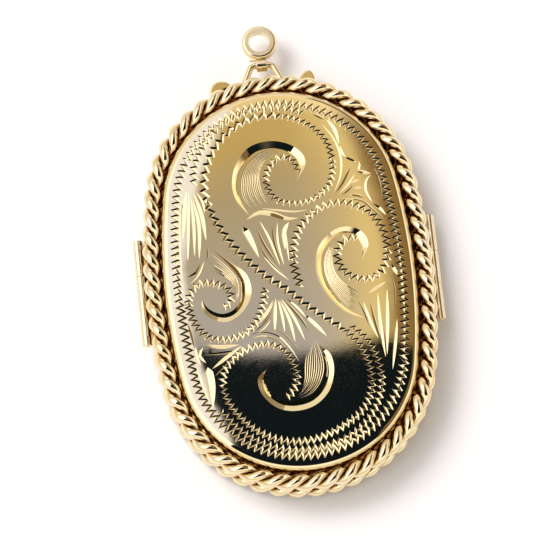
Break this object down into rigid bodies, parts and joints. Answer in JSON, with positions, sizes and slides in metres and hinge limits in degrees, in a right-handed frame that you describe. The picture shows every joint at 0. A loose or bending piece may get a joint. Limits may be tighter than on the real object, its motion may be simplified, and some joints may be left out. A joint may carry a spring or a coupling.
{
  "type": "locket",
  "caption": "Oval family locket with engraved cover, twisted-wire borders, side hinges, a swinging middle leaf, framed photo places and a bail ring.",
  "frame": {"origin": "centre of the flat back face", "axes": "+Z out of the front face, +Y to the bail, +X to the right of somebody who looks at the front"},
  "size_m": [0.028, 0.045, 0.0047],
  "materials": {
    "polished_gold": "polished, pale yellow",
    "rope_gold": "polished, warm yellow",
    "bail_gold": "polished with light wear",
    "hinge_gold": "polished",
    "frame_gold": "satin",
    "clear_window": "clear, glossy",
    "photo_card": "matt, blank"
  },
  "bodies": {
    "back_cover": {"back_shell": "polished_gold", "back_rope_border": "rope_gold", "back_hinge_knuckle": "hinge_gold", "back_thumb_tab": "polished_gold", "back_photo_card": "photo_card", "back_photo_window": "clear_window", "back_photo_frame": "frame_gold"},
    "middle_leaf": {"middle_leaf": "polished_gold", "leaf_front_card": "photo_card", "leaf_front_window": "clear_window", "leaf_front_frame": "frame_gold", "leaf_back_card": "photo_card", "leaf_back_window": "clear_window", "leaf_back_frame": "frame_gold", "left_leaf_knuckles": "hinge_gold", "right_leaf_knuckles": "hinge_gold", "left_hinge_pin": "hinge_gold", "bail_arch": "bail_gold", "right_hinge_pin": "hinge_gold"},
    "front_cover": {"front_shell": "polished_gold", "front_rope_border": "rope_gold", "front_hinge_knuckle": "hinge_gold", "front_thumb_tab": "polished_gold", "front_photo_card": "photo_card", "front_photo_window": "clear_window", "front_photo_frame": "frame_gold"},
    "bail_ring": {"bail_ring": "bail_gold", "bail_collar": "bail_gold"}
  },
  "joints": [
    {"name": "leaf_hinge", "type": "hinge", "parent": "back_cover", "child": "middle_leaf", "pos_m": [0.01352, 0.0003, 0.00193], "axis": [0, 1, 0], "range_deg": [0, 180]},
    {"name": "front_cover_hinge", "type": "hinge", "parent": "middle_leaf", "child": "front_cover", "pos_m": [-0.01352, 0.0003, 0.00278], "axis": [0, -1, 0], "range_deg": [0, 180]},
    {"name": "bail_swing", "type": "hinge", "parent": "middle_leaf", "child": "bail_ring", "pos_m": [-0.00035, 0.02135, 0.00235], "axis": [1, 0, 0], "range_deg": [-105, 105]}
  ]
}
